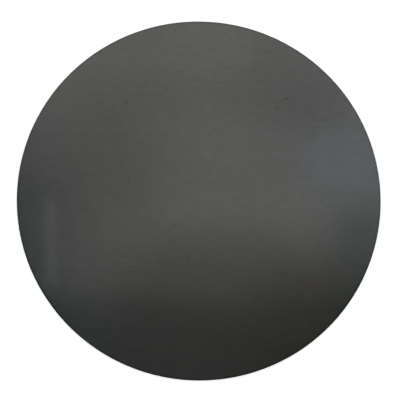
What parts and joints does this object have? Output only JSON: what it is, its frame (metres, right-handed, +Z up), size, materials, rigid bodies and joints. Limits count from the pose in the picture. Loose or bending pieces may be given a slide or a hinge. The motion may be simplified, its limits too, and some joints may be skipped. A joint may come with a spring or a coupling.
{
  "type": "circle template",
  "caption": "Plain solid round template: a thin flat disc of dark grey steel sheet with lightly rounded edges, laid on the work and traced or followed round its rim.",
  "frame": {"origin": "centre of the disc's underside, the face that lies on the work", "axes": "+Z up through the disc, along its axis; +X along the rolling grain of the sheet; +Y across it"},
  "size_m": [0.3, 0.3, 0.002],
  "materials": {
    "dark_steel": "satin dark grey rolled sheet, with a fine grain along X and a few tiny pits"
  },
  "bodies": {
    "root": {"template_disc": "dark_steel"}
  },
  "joints": []
}
